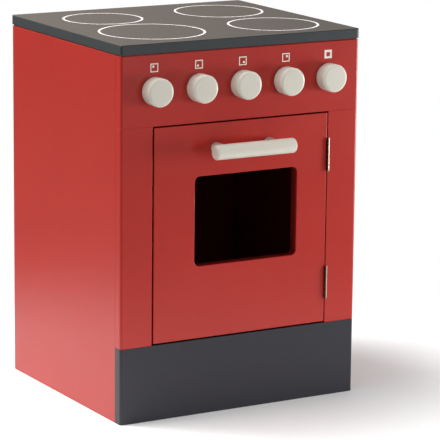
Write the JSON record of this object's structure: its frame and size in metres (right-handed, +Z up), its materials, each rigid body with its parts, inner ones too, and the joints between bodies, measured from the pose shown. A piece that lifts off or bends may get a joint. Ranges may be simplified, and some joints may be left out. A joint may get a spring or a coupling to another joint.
{
  "type": "toy oven",
  "caption": "Child's play cooker of lacquered boards: printed hob on top, turning knobs on the control panel, and a windowed oven door that swings on brass hinges.",
  "frame": {"origin": "middle of the overall box, handle included, on the floor that the cabinet stands on", "axes": "+Z up; -Y is the front, where the door and knobs are; +X is to the right of someone facing the front"},
  "size_m": [0.359, 0.361, 0.5],
  "materials": {
    "red_lacquer": "satin red lacquer over smooth board",
    "grey_lacquer": "satin dark grey lacquer over smooth board",
    "white_lacquer": "satin off-white lacquer over turned beech",
    "beech": "plain sanded beech",
    "brass": "plain rolled brass",
    "steel": "zinc plated steel",
    "magnet": "dark ferrite",
    "catch_plastic": "off-white moulded plastic"
  },
  "bodies": {
    "cabinet": {"back_panel": "red_lacquer", "back_screws": "steel", "catch_housing": "catch_plastic", "catch_magnet": "magnet", "catch_screws": "steel", "control_panel": "red_lacquer", "dowels": "beech", "hinge_frame_screws": "brass", "kickboard": "grey_lacquer", "lower_hinge_frame_leaf": "brass", "lower_hinge_pin": "steel", "oven_shelf": "red_lacquer", "side_panel_left": "red_lacquer", "side_panel_right": "red_lacquer", "stile_left": "red_lacquer", "stile_right": "red_lacquer", "upper_hinge_frame_leaf": "brass", "upper_hinge_pin": "steel", "worktop": "grey_lacquer"},
    "door": {"door_panel": "red_lacquer", "handle_bar": "white_lacquer", "handle_post_left": "white_lacquer", "handle_post_right": "white_lacquer", "handle_screws": "steel", "upper_hinge_door_leaf": "brass", "lower_hinge_door_leaf": "brass", "hinge_door_screws": "brass", "strike_plate": "steel", "strike_screw": "steel"},
    "knob_1": {"knob_1": "white_lacquer", "knob_spindle_1": "beech", "knob_washer_1": "steel", "knob_screw_1": "steel"},
    "knob_2": {"knob_2": "white_lacquer", "knob_spindle_2": "beech", "knob_washer_2": "steel", "knob_screw_2": "steel"},
    "knob_3": {"knob_3": "white_lacquer", "knob_spindle_3": "beech", "knob_washer_3": "steel", "knob_screw_3": "steel"},
    "knob_4": {"knob_4": "white_lacquer", "knob_spindle_4": "beech", "knob_washer_4": "steel", "knob_screw_4": "steel"},
    "knob_5": {"knob_5": "white_lacquer", "knob_spindle_5": "beech", "knob_washer_5": "steel", "knob_screw_5": "steel"}
  },
  "joints": [
    {"name": "door_hinge", "type": "hinge", "parent": "cabinet", "child": "door", "pos_m": [0.1323, -0.1402, 0.104], "axis": [0, 0, 1], "range_deg": [0, 170]},
    {"name": "knob_1_turn", "type": "hinge", "parent": "cabinet", "child": "knob_1", "pos_m": [-0.131, -0.138, 0.4385], "axis": [0, 1, 0], "continuous": true},
    {"name": "knob_2_turn", "type": "hinge", "parent": "cabinet", "child": "knob_2", "pos_m": [-0.0655, -0.138, 0.4385], "axis": [0, 1, 0], "continuous": true},
    {"name": "knob_3_turn", "type": "hinge", "parent": "cabinet", "child": "knob_3", "pos_m": [0, -0.138, 0.4385], "axis": [0, 1, 0], "continuous": true},
    {"name": "knob_4_turn", "type": "hinge", "parent": "cabinet", "child": "knob_4", "pos_m": [0.0655, -0.138, 0.4385], "axis": [0, 1, 0], "continuous": true},
    {"name": "knob_5_turn", "type": "hinge", "parent": "cabinet", "child": "knob_5", "pos_m": [0.131, -0.138, 0.4385], "axis": [0, 1, 0], "continuous": true}
  ]
}
